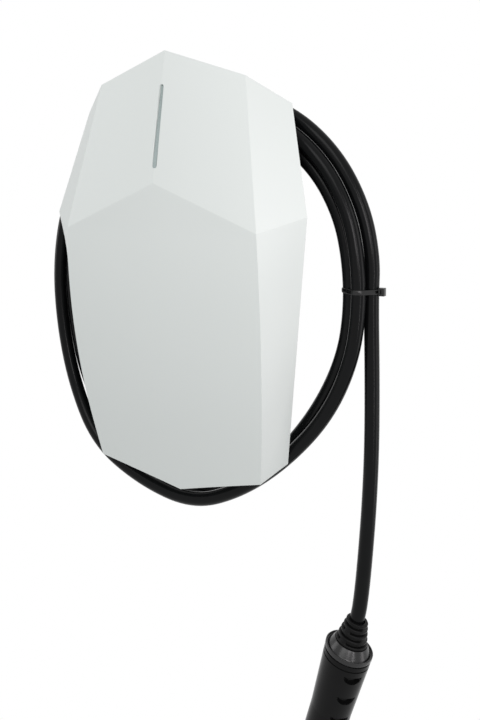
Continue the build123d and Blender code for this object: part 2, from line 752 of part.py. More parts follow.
def cable_lead():
    points = [Vector(entry_x, -coil_depth, relief_low)]
    for i in range(lead_runs):
        turned_by = radians(i * lead_turn)
        points.append(points[-1] + Vector(-sin(turned_by), 0, -cos(turned_by)) * lead_run)
    return cable_tube("cable_lead", points)


def cable_drop():
    return cable_tube("cable_drop", [Vector(x, -drop_depth, z) for x, z in drop_route])


def cable_coil(lead, drop):
    """Outer shape of the wound cable: an oval section along a closed loop round the housing."""
    points = [Vector(x, -coil_depth, z) for x, z in coil_route]
    path = FilletPolyline(*points, radius=bend_radii(points, closed=True), close=True)
    print(f"cable_coil: loop of {path.length:.0f} mm")
    start = Plane(path @ 0, x_dir=(0, 1, 0), z_dir=path % 0)
    ring = sweep(start * Ellipse(coil_deep / 2, coil_wide / 2), path)
    return ring - lead - drop


def cable_tie(coil):
    middle_x = drop_x - tie_offset
    wide, deep = coil_wide / 2 + clear, coil_deep / 2 + clear
    band = Ellipse(wide + tie_thick, deep + tie_thick) - Ellipse(wide, deep)
    strap = Pos(middle_x, -coil_depth, tie_z) * extrude(band, tie_wide / 2, both=True)
    length, deep, high = tie_head
    head = Box(length, deep, high, align=(Align.MIN, Align.CENTER, Align.CENTER))
    strap += Pos(middle_x + wide, -coil_depth, tie_z) * head
    return strap - coil


# Connector, built downwards from the top of its boot

connector = Pos(*boot_top) * Rot(0, connector_tilt, 0)
nut_top = boot_length
collar_top = nut_top + nut_cone
neck_top = collar_top + collar_thick
handle_top = neck_top + neck_high
stem_end = handle_top + thread_high


def connector_boot(drop):
    """Ribbed rubber sleeve that tapers up to the cable, with a stem inside the cap nut."""
    step = boot_length / boot_ribs
    profile = [(0, 0)]
    for i in range(boot_ribs):
        grow = (boot_wide - boot_narrow) / boot_ribs
        outer = boot_narrow + grow * (i + 0.5)
        profile += [(outer, -i * step), (outer + grow * 0.5, -(i + 0.68) * step),
                    (outer - boot_groove, -(i + 0.72) * step), (outer - boot_groove, -(i + 1) * step)]
    profile += [(boot_wide, -boot_length), (boot_wide, -stem_end), (0, -stem_end)]
    return connector * turned(profile) - drop


def connector_cap_nut():
    bore = boot_wide + clear
    neck = collar_radius - 1.2
    thread = grip_top - grip_wall - clear
    profile = [(bore, -nut_top), (bore + 1.2, -nut_top), (collar_radius - 1.0, -collar_top),
               (collar_radius, -collar_top - 0.6), (collar_radius, -neck_top + 0.4),
               (neck, -neck_top), (neck, -handle_top), (thread, -handle_top), (thread, -stem_end),
               (bore, -stem_end)]
    return connector * turned(profile)


handle_end = handle_top + grip_length
head_top = handle_end


def connector_handle():
    """Tapered grip with a rim, and rows of finger recesses on two sides."""
    waist = handle_top + grip_taper
    rim_end = handle_top + rim_high
    groove = grip_top - rim_groove
    profile = [(grip_top, -handle_top), (grip_top, -rim_end), (groove, -rim_end - rim_groove / 2),
               (groove, -rim_end - rim_groove * 2), (grip_top, -rim_end - rim_groove * 2.5),
               (grip_narrow, -waist),
               (grip_narrow, -handle_end), (0, -handle_end), (0, -handle_end + grip_wall)]
    bore = grip_narrow - grip_wall
    thread = grip_top - grip_wall
    profile += [(bore, -handle_end + grip_wall), (bore, -waist), (thread, -stem_end - clear),
                (thread, -handle_top)]
    handle = turned(profile)
    for i in range(recess_count):
        down = handle_top + recess_first + i * recess_pitch
        taper = max(0.0, 1 - (down - handle_top) / grip_taper)
        radius = grip_narrow + (grip_top - grip_narrow) * taper
        scoop = Cylinder(recess_radius, recess_high) & Pos(recess_radius / 2, 0, 0) * Box(
            recess_radius, 2 * recess_radius, recess_high)
        for side in (0, 180):
            place = Rot(0, 0, side - recess_turn) * Pos(radius - recess_deep, 0, -down)
            handle -= place * scoop
    return connector * handle


def d_shape(radius, flat):
    """Round face of the connector with its flattened side."""
    return Circle(radius) & Pos(0, (flat - radius) / 2) * Rectangle(2 * radius, radius + flat)


def connector_head():
    neck = Pos(0, 0, -head_top) * Circle(grip_narrow)
    wide = Pos(0, 0, -head_top - head_flare) * Circle(head_radius - head_step)
    end = head_top + head_length
    body = loft([neck, wide])
    body += Pos(0, 0, -end) * extrude(d_shape(head_radius, head_flat), head_length - head_flare)
    mouth = d_shape(carrier_radius + socket_gap, head_flat - grip_wall)
    body -= Pos(0, 0, -end - 1) * extrude(mouth, carrier_length + carrier_recess + 1)
    return connector * body


carrier_face = head_top + head_length - carrier_recess


def contact_places():
    """Contacts of the connector's face: x, y and radius of each bore."""
    power = [(0, 0), (-contact_span, 1), (contact_span, 1), (-contact_span / 2, -contact_drop),
             (contact_span / 2, -contact_drop)]
    pilots = [(-pilot_span / 2, pilot_rise), (pilot_span / 2, pilot_rise)]
    return [(x, y, contact_bore) for x, y in power] + [(x, y, pilot_bore) for x, y in pilots]


def contact_carrier():
    body = extrude(d_shape(carrier_radius, head_flat - grip_wall - socket_gap), carrier_length)
    body = Pos(0, 0, -carrier_face) * body
    for x, y, radius in contact_places():
        body -= Pos(x, y, -carrier_face) * Cylinder(radius + thread_clear, 2 * contact_deep)
    return connector * body


def contact_sleeves():
    sleeves = []
    for x, y, radius in contact_places():
        sleeve = Circle(radius) - Circle(radius * 0.7)
        length = contact_deep - contact_sunk
        sleeves.append(connector * Pos(x, y, -carrier_face + contact_sunk) * extrude(sleeve, length))
    return group(sleeves)


def make_all():
    lead, drop = cable_lead(), cable_drop()
    coil = cable_coil(lead, drop)
    return {
        "front_cover": front_cover(),
        "light_strip": light_strip(),
        "light_board": light_board(),
        "light_board_screws": light_board_screws(),
        "back_housing": back_housing(),
        "lid_seal": lid_seal(),
        "housing_lid": housing_lid(),
        "lid_screws": lid_screws(),
        "cover_screws": cover_screws(),
        "wall_bracket": wall_bracket(),
        "bracket_screws": bracket_screws(),
        "power_board": power_board(),
        "board_screws": board_screws(),
        "relays": relays(),
        "power_module": power_module(),
        "current_sensor": current_sensor(),
        "supply_terminals": terminals(-terminal_x),
        "cable_terminals": terminals(terminal_x),
        "board_spacers": board_spacers(),
        "control_board": control_board(),
        "control_screws": control_screws(),
        "radio_module": radio_module(),
        "card_reader_board": card_reader_board(),
        "card_reader_screws": card_reader_screws(),
        "earth_stud": earth_stud(),
        "earth_nut": earth_nut(),
        "supply_gland_body": gland_body(supply_x),
        "supply_gland_nut": dome_nut(supply_x),
        "supply_gland_seal": gland_seal(supply_x),
        "supply_gland_locknut": locknut(supply_x),
        "supply_gland_plug": supply_gland_plug(),
        "cable_gland_body": gland_body(entry_x),
        "cable_gland_nut": dome_nut(entry_x),
        "cable_gland_seal": gland_seal(entry_x),
        "cable_gland_locknut": locknut(entry_x),
        "bend_relief": bend_relief(),
        "vent_plug": vent_plug(),
        "vent_nut": vent_nut(),
        "cable_end": cable_end(),
        "inner_leads": inner_leads(),
        "cable_lead": lead,
        "cable_coil": coil,
        "cable_drop": drop,
        "cable_tie": cable_tie(coil),
        "connector_boot": connector_boot(drop),
        "connector_cap_nut": connector_cap_nut(),
        "connector_handle": connector_handle(),
        "connector_head": connector_head(),
        "contact_carrier": contact_carrier(),
        "contact_sleeves": contact_sleeves(),
    }


for name, shape in make_all().items():
    export_step(shape, f"parts/{name}.step")
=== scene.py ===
"""Looks of a wall-hung charging box with its cable, in metres, in the frame of its CAD model."""
import bpy
import bmesh
import json
from math import cos, pi, radians, sin, sqrt
from mathutils import Matrix, Vector


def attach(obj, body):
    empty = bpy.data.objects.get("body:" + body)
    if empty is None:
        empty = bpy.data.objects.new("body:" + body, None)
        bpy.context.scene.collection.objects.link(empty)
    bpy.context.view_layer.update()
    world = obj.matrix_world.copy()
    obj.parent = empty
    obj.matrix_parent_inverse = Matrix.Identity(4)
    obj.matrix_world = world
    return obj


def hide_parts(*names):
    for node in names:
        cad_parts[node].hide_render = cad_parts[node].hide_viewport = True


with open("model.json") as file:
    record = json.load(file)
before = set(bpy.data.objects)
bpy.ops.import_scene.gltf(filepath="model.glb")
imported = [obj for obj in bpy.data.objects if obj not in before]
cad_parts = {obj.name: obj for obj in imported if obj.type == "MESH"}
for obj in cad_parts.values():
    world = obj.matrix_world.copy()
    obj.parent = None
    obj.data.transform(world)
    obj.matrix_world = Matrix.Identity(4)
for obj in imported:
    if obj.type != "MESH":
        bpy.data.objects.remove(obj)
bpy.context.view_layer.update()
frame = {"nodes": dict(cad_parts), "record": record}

MM = 0.001


# Camera: placed and turned as the photograph was taken

CAMERA_PLACE = (481.9, -823.3, 70.0)            # mm
CAMERA_YAW, CAMERA_PITCH, CAMERA_ROLL = 28.906, 1.586, 0.158      # degrees
FOCAL_LENGTH_PX = 842.8
IMAGE_WIDTH, IMAGE_HEIGHT = 480, 720
OPTICAL_CENTRE = (240.0, 206.4)                 # px from the left and from the top
SENSOR = 36.0                                   # mm, for the image's height
NEAREST, FARTHEST = 0.05, 50.0                  # metres


def add_camera():
    data = bpy.data.cameras.new("camera")
    data.sensor_fit = "VERTICAL"
    data.sensor_height = SENSOR
    data.lens = FOCAL_LENGTH_PX * SENSOR / IMAGE_HEIGHT
    data.shift_x = (IMAGE_WIDTH / 2 - OPTICAL_CENTRE[0]) / IMAGE_HEIGHT
    data.shift_y = (OPTICAL_CENTRE[1] - IMAGE_HEIGHT / 2) / IMAGE_HEIGHT
    data.clip_start, data.clip_end = NEAREST, FARTHEST
    camera = bpy.data.objects.new("camera", data)
    turn = Matrix.Rotation(radians(CAMERA_YAW), 4, "Z")
    turn @= Matrix.Rotation(radians(90 - CAMERA_PITCH), 4, "X")
    turn @= Matrix.Rotation(radians(CAMERA_ROLL), 4, "Z")
    camera.matrix_world = Matrix.Translation(Vector(CAMERA_PLACE) * MM) @ turn
    bpy.context.collection.objects.link(camera)
    bpy.context.scene.camera = camera


# Light and backdrop

NEUTRAL, ROSY = (1, 1, 1), (1, 0.965, 0.98)
LIGHTS = {          # place and size in metres, power in watts, colour
    "front_high": ((0.2, -2.6, 1.6), (1.8, 1.2), 18.8, NEUTRAL),
    "side_left": ((-2.4, -0.9, 0.6), (1.2, 1.8), 12.4, NEUTRAL),
    "rim_right": ((1.9, 0.35, 0.0), (0.5, 2.2), 7.5, ROSY),
    "near_right": ((0.75, -0.95, 0.25), (0.36, 0.36), 3.3, ROSY),
    "strip_right": ((1.1, -0.75, 0.1), (0.08, 1.3), 3.0, ROSY),
}
AROUND, AROUND_STRENGTH = (0.93, 0.97, 1.0, 1), 0.33     # light from all around
BACKDROP, BACKDROP_STRENGTH = (1, 1, 1, 1), 1.0


def add_lights():
    """Soft rectangular lamps that face the middle of the box."""
    for name, (place, size, power, colour) in LIGHTS.items():
        data = bpy.data.lights.new(name, "AREA")
        data.shape = "RECTANGLE"
        data.size, data.size_y = size
        data.energy = power
        data.color = colour
        lamp = bpy.data.objects.new(name, data)
        lamp.location = place
        lamp.rotation_euler = (-Vector(place)).to_track_quat("-Z", "Y").to_euler()
        bpy.context.collection.objects.link(lamp)


def add_world():
    """White backdrop for the camera and in reflections, softer light for the surfaces."""
    world = bpy.data.worlds.new("studio")
    world.use_nodes = True
    world.node_tree.nodes.clear()
    graph = Graph(world.node_tree)
    ray = graph.add("ShaderNodeLightPath").outputs
    shows = graph.value(ray["Is Camera Ray"])
    for kind in ("Is Glossy Ray", "Is Transmission Ray"):
        shows = shows.largest(ray[kind])
    around = graph.add("ShaderNodeBackground", {}, {"Color": AROUND, "Strength": AROUND_STRENGTH})
    backdrop = graph.add("ShaderNodeBackground", {}, {"Color": BACKDROP, "Strength": BACKDROP_STRENGTH})
    mix = graph.add("ShaderNodeMixShader", {},
                    {"Fac": shows, 1: around.outputs[0], 2: backdrop.outputs[0]})
    graph.add("ShaderNodeOutputWorld", {}, {"Surface": mix.outputs[0]})
    bpy.context.scene.world = world


# Node building, for materials, the world and Geometry Nodes

class Graph:
    """Node tree with one way to add a node."""

    def __init__(self, tree):
        self.tree = tree

    def add(self, kind, settings=None, sockets=None):
        """New node: its settings first, then a number, colour or link for each named socket."""
        node = self.tree.nodes.new(kind)
        for name, value in (settings or {}).items():
            setattr(node, name, value)
        for name, value in (sockets or {}).items():
            self.feed(node.inputs[name], value)
        return node

    def feed(self, socket, value):
        if isinstance(value, Value):
            value = value.socket
        if isinstance(value, bpy.types.NodeSocket):
            self.tree.links.new(value, socket)
        else:
            socket.default_value = value

    def value(self, socket):
        return Value(self, socket)


class Value:
    """Output socket of a graph. Sums written with it add Math nodes."""

    def __init__(self, graph, socket):
        self.graph, self.socket = graph, socket

    def math(self, operation, first, second):
        node = self.graph.add("ShaderNodeMath", {"operation": operation}, {0: first, 1: second})
        return Value(self.graph, node.outputs[0])

    def __add__(self, other):
        return self.math("ADD", self, other)

    def __radd__(self, other):
        return self.math("ADD", other, self)

    def __mul__(self, other):
        return self.math("MULTIPLY", self, other)

    def __rmul__(self, other):
        return self.math("MULTIPLY", other, self)

    def largest(self, other):
        return self.math("MAXIMUM", self, other)

    def between(self, low, high):
        """0 below low, 1 above high, smooth between them."""
        node = self.graph.add("ShaderNodeMapRange", {"interpolation_type": "SMOOTHSTEP"},
                              {"Value": self, "From Min": low, "From Max": high})
        return Value(self.graph, node.outputs["Result"])


class Material:
    """Principled material whose colour, roughness and bump come from noise in object space."""

    def __init__(self, name, metallic=0.0, coat=0.0, coat_roughness=0.1, specular=0.5):
        self.material = bpy.data.materials.new(name)
        self.material.use_nodes = True
        self.graph = Graph(self.material.node_tree)
        self.shader = self.material.node_tree.nodes["Principled BSDF"]
        for socket, value in (("Metallic", metallic), ("Coat Weight", coat),
                              ("Coat Roughness", coat_roughness), ("Specular IOR Level", specular)):
            self.shader.inputs[socket].default_value = value
        self.coordinates = self.graph.add("ShaderNodeTexCoord").outputs["Object"]

    def noise(self, size, detail=2.0, stretch=(1, 1, 1)):
        """Noise of the given grain size in metres."""
        scale = [1 / (size * s) for s in stretch]
        mapping = self.graph.add("ShaderNodeMapping", {}, {"Vector": self.coordinates, "Scale": scale})
        node = self.graph.add("ShaderNodeTexNoise", {},
                              {"Vector": mapping.outputs[0], "Scale": 1.0, "Detail": detail})
        return self.graph.value(node.outputs["Fac"])

    def along(self, axis):
        """Object coordinate along X, Y or Z, in metres."""
        node = self.graph.add("ShaderNodeSeparateXYZ", {}, {0: self.coordinates})
        return self.graph.value(node.outputs[axis])

    def colour(self, first, second, share):
        node = self.graph.add("ShaderNodeMix", {"data_type": "RGBA"},
                              {"A": (*first, 1), "B": (*second, 1), "Factor": share})
        self.graph.feed(self.shader.inputs["Base Color"], node.outputs["Result"])

    def roughness(self, low, high, share):
        self.graph.feed(self.shader.inputs["Roughness"], low + share * (high - low))

    def bump(self, height, depth, strength):
        """Raises the surface by height, a value from 0 to 1, times depth in metres."""
        node = self.graph.add("ShaderNodeBump", {},
                              {"Distance": depth, "Strength": strength, "Height": height})
        self.graph.feed(self.shader.inputs["Normal"], node.outputs[0])


# Materials: grain sizes and depths in metres

def white_plastic():
    """Injection-moulded satin white: a fine even texture and hardly any colour change."""
    m = Material("white_plastic", coat=0.12, coat_roughness=0.35)
    cloud = m.noise(0.09)
    grain = m.noise(0.00055)
    m.colour((0.808, 0.842, 0.812), (0.828, 0.860, 0.832), cloud)
    m.roughness(0.36, 0.46, 0.6 * grain + 0.4 * cloud)
    m.bump(grain, 0.00003, 0.35)
    return m.material


def lens_plastic():
    """Translucent grey-green light strip, unlit."""
    m = Material("lens_plastic", coat=0.3, coat_roughness=0.12)
    m.colour((0.36, 0.43, 0.42), (0.43, 0.50, 0.49), m.noise(0.012))
    m.roughness(0.22, 0.34, m.noise(0.0012))
    return m.material


def black_plastic(name, tone, grain, rough, depth, specular=0.11):
    """Black moulding with a fine grain; its lighter clouds are about 1.7 times the tone."""
    m = Material(name, specular=specular)
    cloud = m.noise(0.03)
    fine = m.noise(grain, detail=3)
    m.colour((tone, tone, tone), (tone * 1.7, tone * 1.7, tone * 1.75), cloud)
    m.roughness(rough[0], rough[1], 0.5 * fine + 0.5 * cloud)
    m.bump(fine, depth, 0.5)
    return m.material


def cable_jacket():
    """Smooth black PVC with faint rubbed streaks and a little dust."""
    m = Material("cable_jacket", specular=0.11)
    cloud = m.noise(0.025, detail=3)
    rub = m.noise(0.004, detail=3, stretch=(1, 1, 3))
    fine = m.noise(0.0007)
    m.colour((0.0030, 0.0032, 0.0034), (0.0062, 0.0065, 0.0070), 0.6 * cloud + 0.4 * rub)
    m.roughness(0.15, 0.22, 0.6 * rub + 0.4 * fine)
    m.bump(0.6 * fine + 0.4 * rub, 0.00005, 0.25)
    return m.material


def gloss_plastic():
    """Polished black of the connector's cone."""
    m = Material("gloss_plastic", specular=0.45)
    m.colour((0.003, 0.003, 0.0033), (0.006, 0.006, 0.0064), m.noise(0.02))
    m.roughness(0.22, 0.28, m.noise(0.006))
    m.bump(m.noise(0.012), 0.00002, 0.15)
    return m.material


def metal(name, first, second, rough=(0.28, 0.45), grain=0.002):
    """Plated or rolled metal with fine marks along one way."""
    m = Material(name, metallic=1.0)
    cloud = m.noise(grain * 6)
    brushed = m.noise(grain, detail=3, stretch=(1, 1, 6))
    m.colour(first, second, cloud)
    m.roughness(rough[0], rough[1], brushed)
    m.bump(brushed, 0.00003, 0.3)
    return m.material


def board_resist():
    """Green solder resist with copper tracks showing through as a faint relief."""
    m = Material("board_resist", coat=0.4, coat_roughness=0.15)
    tracks = m.noise(0.006, detail=1, stretch=(4, 1, 0.6)).between(0.48, 0.52)
    m.colour((0.006, 0.055, 0.025), (0.012, 0.095, 0.040), tracks)
    m.roughness(0.25, 0.4, m.noise(0.002))
    m.bump(tracks, 0.00004, 0.6)
    return m.material


def grey_plastic():
    m = Material("grey_plastic")
    fine = m.noise(0.0008)
    m.colour((0.28, 0.29, 0.29), (0.36, 0.37, 0.37), m.noise(0.02))
    m.roughness(0.4, 0.55, fine)
    m.bump(fine, 0.00003, 0.4)
    return m.material


def wire_insulation():
    """Brown and blue cores, told apart by where they stand."""
    m = Material("wire_insulation")
    m.colour((0.05, 0.03, 0.02), (0.10, 0.16, 0.35), m.along("X").between(0.045, 0.055))
    m.roughness(0.35, 0.5, m.noise(0.003))
    m.bump(m.noise(0.001), 0.00002, 0.4)
    return m.material


def make_materials():
    """A material for each slot of the CAD record."""
    return {
        "white_cover": white_plastic(),
        "lens": lens_plastic(),
        "board_green": board_resist(),
        "steel": metal("zinc_steel", (0.55, 0.55, 0.56), (0.66, 0.66, 0.66)),
        "galvanised": metal("galvanised_sheet", (0.42, 0.43, 0.44), (0.56, 0.57, 0.58), (0.35, 0.55),
                            0.004),
        "black_housing": black_plastic("housing_plastic", 0.008, 0.0009, (0.45, 0.6), 0.0001),
        "black_rubber": black_plastic("rubber", 0.006, 0.0007, (0.55, 0.7), 0.00008),
        "black_moulding": black_plastic("moulding", 0.010, 0.0006, (0.38, 0.5), 0.00002),
        "grey_moulding": grey_plastic(),
        "brass": metal("brass", (0.62, 0.46, 0.20), (0.72, 0.56, 0.28)),
        "gland_black": black_plastic("nylon", 0.007, 0.0008, (0.36, 0.48), 0.00002),
        "cable_jacket": cable_jacket(),
        "core_sleeve": wire_insulation(),
        "tie_nylon": black_plastic("tie_nylon", 0.003, 0.0008, (0.20, 0.26), 0.00001, 0.4),
        "boot_rubber": black_plastic("boot_rubber", 0.004, 0.0006, (0.32, 0.42), 0.00005, 0.1),
        "connector_gloss": gloss_plastic(),
        "connector_black": black_plastic("black_plastic", 0.0035, 0.0006, (0.17, 0.23), 0.00002),
        "silver": metal("silver_plate", (0.72, 0.71, 0.68), (0.82, 0.81, 0.78), (0.2, 0.32)),
    }


def dress_nodes():
    """Gives each CAD node that stays its procedural material."""
    slots = {part["node"]: part["material_slot"] for part in frame["record"]["subparts"]}
    for name, piece in frame["nodes"].items():
        piece.data.materials.clear()
        piece.data.materials.append(materials[slots[name]])


# Mesh helpers: points in mm, meshes in metres

def new_mesh(bm, name):
    """Mesh from bm, its faces turned outwards."""
    bmesh.ops.recalc_face_normals(bm, faces=bm.faces)
    mesh = bpy.data.meshes.new(name)
    bm.to_mesh(mesh)
    bm.free()
    return mesh


def new_object(name, mesh, slot):
    piece = bpy.data.objects.new(name, mesh)
    bpy.context.collection.objects.link(piece)
    piece.data.materials.clear()
    piece.data.materials.append(materials[slot])
    return piece


def apply_modifiers(piece):
    depsgraph = bpy.context.evaluated_depsgraph_get()
    mesh = bpy.data.meshes.new_from_object(piece.evaluated_get(depsgraph))
    old = piece.data
    piece.modifiers.clear()
    piece.data = mesh
    bpy.data.meshes.remove(old)


def bevel(piece, width, segments, angle):
    """Rounds the edges that are sharper than the angle in degrees."""
    edges = piece.modifiers.new("edges", "BEVEL")
    edges.width = width * MM
    edges.segments = segments
    edges.limit_method = "ANGLE"
    edges.angle_limit = radians(angle)
    apply_modifiers(piece)


def smooth_faces(piece, angle):
    piece.data.shade_smooth()
    piece.data.set_sharp_from_angle(angle=radians(angle))


def hand_over(piece, node):
    """The finished piece takes the place of a CAD node and rides on the object's one body."""
    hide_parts(node)
    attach(piece, "root")


def blend_points(p, q, share):
    return tuple(a + (b - a) * share for a, b in zip(p, q))


def even_angles(count):
    return [2 * pi * i / count for i in range(count)]


def add_ring(bm, points):
    return [bm.verts.new(Vector(p) * MM) for p in points]


def join_rings(bm, rings):
    """Quads between neighbouring rings with the same number of points."""
    for low, high in zip(rings, rings[1:]):
        for i in range(len(low)):
            j = (i + 1) % len(low)
            bm.faces.new((low[i], low[j], high[j], high[i]))


def add_box(bm, low, high):
    corners = add_ring(bm, [(x, y, z) for x in (low[0], high[0]) for y in (low[1], high[1])
                            for z in (low[2], high[2])])
    for face in ((0, 1, 3, 2), (4, 6, 7, 5), (0, 4, 5, 1), (2, 3, 7, 6), (0, 2, 6, 4), (1, 5, 7, 3)):
        bm.faces.new([corners[i] for i in face])


# Front cover: exact corners in mm for the right half, mirrored to the left

APEX, TIP = (0, -109.5, 204.4), (0, -130.4, 69.5)
TOP, BROW = (88.1, -99.6, 175.1), (126.0, -73.4, 148.4)
WAIST, CREASE = (152.2, -94.3, 37.5), (114.1, -125.8, 22.0)
HEEL = (115.0, -56.6, -215.0)
CHIN_HEIGHT, FOOT_HEIGHT, BELLY_END = -254.3, -230.5, -190.0
RIM_DEPTH = -54.0
APEX_RIM, TOP_RIM, BROW_RIM = (0, RIM_DEPTH, 200.0), (86.0, RIM_DEPTH, 165.5), (114.5, RIM_DEPTH, 148.8)
WAIST_RIM, HEEL_RIM, CHIN_RIM = (131.6, RIM_DEPTH, 37.5), (113.7, RIM_DEPTH, -214.3), (0, RIM_DEPTH, -244.1)
LEAN, LEAN_GROWTH, LEAN_BELOW = 0.055, 0.00044, 0.236         # how the lower front leans back
BELLY_HALF, BELLY_HEIGHT, BELLY_BOW = 115.0, -30.0, 0.000415      # widest place between the creases
CREASE_FLARE, CREASE_FLARE_START = 0.2, -10.0
FRONT_COLUMNS, FRONT_ROWS, SIDE_COLUMNS, UPPER_ROWS, WALL_ROWS = 12, 44, 5, 16, 4
COVER_WALL = 3.0
EDGE_ROUND, EDGE_STEPS, FACET_ANGLE, SMOOTH_ANGLE = 0.9, 3, 7, 35     # mm, count, degrees
FACET_WEIGHT = 90                   # how far the flat facets govern the shading
SAME_POINT = 0.00002                # metres


def front_y(z):
    """Depth of the lower front: it leans back more and more, then runs straight."""
    if z >= CREASE[2]:
        return CREASE[1] + (TIP[1] - CREASE[1]) * (z - CREASE[2]) / (TIP[2] - CREASE[2])
    fall = CREASE[2] - max(z, BELLY_END)
    straight = max(0.0, BELLY_END - z)
    return CREASE[1] + LEAN * fall + LEAN_GROWTH * fall ** 2 + LEAN_BELOW * straight


def crease_x(z):
    """Half width of the lower front between its two creases."""
    if z >= CREASE[2]:
        return CREASE[0]
    flare = max(0.0, z - CREASE_FLARE_START) / (CREASE[2] - CREASE_FLARE_START)
    return BELLY_HALF - BELLY_BOW * (z - BELLY_HEIGHT) ** 2 + CREASE_FLARE * flare


def corner_patch(p, q, r, s, across, along):
    """Rows from the edge p-q to the edge s-r."""
    return [[blend_points(blend_points(p, q, i / across), blend_points(s, r, i / across), j / along)
             for i in range(across + 1)] for j in range(along + 1)]


def lower_front():
    rows = []
    for j in range(FRONT_ROWS + 1):
        row = []
        for i in range(FRONT_COLUMNS + 1):
            u = i / FRONT_COLUMNS
            top = TIP[2] + (CREASE[2] - TIP[2]) * u
            bottom = CHIN_HEIGHT + (FOOT_HEIGHT - CHIN_HEIGHT) * u
            z = top + (bottom - top) * j / FRONT_ROWS
            row.append((u * crease_x(z), front_y(z), z))
        rows.append(row)
    return rows


def lower_side(front):
    rows = []
    for j, row in enumerate(front):
        outer = blend_points(WAIST, HEEL, j / FRONT_ROWS)
        rows.append([blend_points(row[-1], outer, i / SIDE_COLUMNS) for i in range(SIDE_COLUMNS + 1)])
    return rows


def back_wall(chain, rim_start, rim_end):
    """Rows from a chain of outline points back to the rim."""
    count = len(chain) - 1
    rim = [blend_points(rim_start, rim_end, i / count) for i in range(count + 1)]
    return [[blend_points(p, q, j / WALL_ROWS) for p, q in zip(chain, rim)] for j in range(WALL_ROWS + 1)]


def cover_half():
    front = lower_front()
    side = lower_side(front)
    upper = corner_patch(TIP, CREASE, TOP, APEX, FRONT_COLUMNS, UPPER_ROWS)
    cheek = corner_patch(CREASE, WAIST, BROW, TOP, SIDE_COLUMNS, UPPER_ROWS)
    foot = front[-1] + side[-1][1:]
    walls = [
        back_wall(upper[-1], APEX_RIM, TOP_RIM),
        back_wall(cheek[-1][::-1], BROW_RIM, TOP_RIM),
        back_wall([row[-1] for row in cheek], WAIST_RIM, BROW_RIM),
        back_wall([row[-1] for row in side], WAIST_RIM, HEEL_RIM),
        back_wall(foot, CHIN_RIM, HEEL_RIM),
    ]
    return [front, side, upper, cheek] + walls


def add_patch(bm, grid):
    """Quads over rows of points."""
    rows = [add_ring(bm, row) for row in grid]
    for low, high in zip(rows, rows[1:]):
        for a, b, c, d in zip(low, low[1:], high[1:], high):
            bm.faces.new((a, b, c, d))


def cover_shell():
    """Moulded wall of the cover, with rounded edges."""
    bm = bmesh.new()
    for side in (-1, 1):
        for grid in cover_half():
            add_patch(bm, [[(side * x, y, z) for x, y, z in row] for row in grid])
    bmesh.ops.remove_doubles(bm, verts=bm.verts, dist=SAME_POINT)
    shell = new_object("cover_shell", new_mesh(bm, "cover_shell"), "white_cover")
    wall = shell.modifiers.new("wall", "SOLIDIFY")
    wall.thickness = COVER_WALL * MM
    wall.offset = -1
    wall.use_even_offset = True
    bevel(shell, EDGE_ROUND, EDGE_STEPS, FACET_ANGLE)
    return shell


SLOT_TOP, SLOT_BOTTOM, SLOT_WIDTH = 169.5, 84.5, 5.0
SLOT_REACH = (8.0, -4.0)            # from outside the ridge to behind the wall
SLOT_STEPS = 12                     # round each end


def slot_cutter():
    """Round-ended bar through the ridge."""
    up = (Vector(APEX) - Vector(TIP)).normalized()
    out = Vector((1, 0, 0)).cross(up)
    middle_z = (SLOT_TOP + SLOT_BOTTOM) / 2
    middle = Vector(TIP) + up * ((middle_z - TIP[2]) / up.z)
    radius = SLOT_WIDTH / 2
    straight = (SLOT_TOP - SLOT_BOTTOM) / 2 / up.z - radius
    outline = []
    for end, first in ((straight, 0), (-straight, pi)):
        for i in range(SLOT_STEPS + 1):
            angle = first + pi * i / SLOT_STEPS
            outline.append(Vector((cos(angle) * radius, 0, 0)) + up * (end + sin(angle) * radius))
    bm = bmesh.new()
    rings = [add_ring(bm, [middle + p + out * reach for p in outline]) for reach in SLOT_REACH]
    join_rings(bm, rings)
    for ring in rings:
        bm.faces.new(ring)
    return new_mesh(bm, "slot_cutter")


def cut(piece, mesh):
    cutter = bpy.data.objects.new("cutter", mesh)
    bpy.context.collection.objects.link(cutter)
    boolean = piece.modifiers.new("cut", "BOOLEAN")
    boolean.operation = "DIFFERENCE"
    boolean.solver = "EXACT"
    boolean.object = cutter
    apply_modifiers(piece)
    bpy.data.objects.remove(cutter)
    bpy.data.meshes.remove(mesh)


def weight_normals(piece):
    """Keeps the flat facets flat up to their rounded edges."""
    normals = piece.modifiers.new("normals", "WEIGHTED_NORMAL")
    normals.keep_sharp = True
    normals.weight = FACET_WEIGHT
    apply_modifiers(piece)


def make_cover():
    shell = cover_shell()
    cut(shell, slot_cutter())
    smooth_faces(shell, SMOOTH_ANGLE)
    weight_normals(shell)
    hand_over(shell, "front_cover")


# Inside of the cover, in mm: posts that stand on the lid, shelves over and under the housing

POST_RADIUS, POST_BORE, POST_FLARE, POST_SIDES = 5.0, 1.6, 1.0, 32
POST_CHAMFER, BORE_CHAMFER = 0.4, 0.3
POST_PLACES = [(58.0, -91.6, -94.0, 19.6), (58.0, -91.6, 92.0, 26.6)]       # middle of the back, length
SHELF_WIDTH, SHELF_THICK, SHELF_ROUND = 24.0, 3.0, 0.5
SHELF_PLACES = [(50.0, -62.0, 126.8, 50.6), (50.0, -62.0, -121.8, 45.3)]    # middle of the back, length


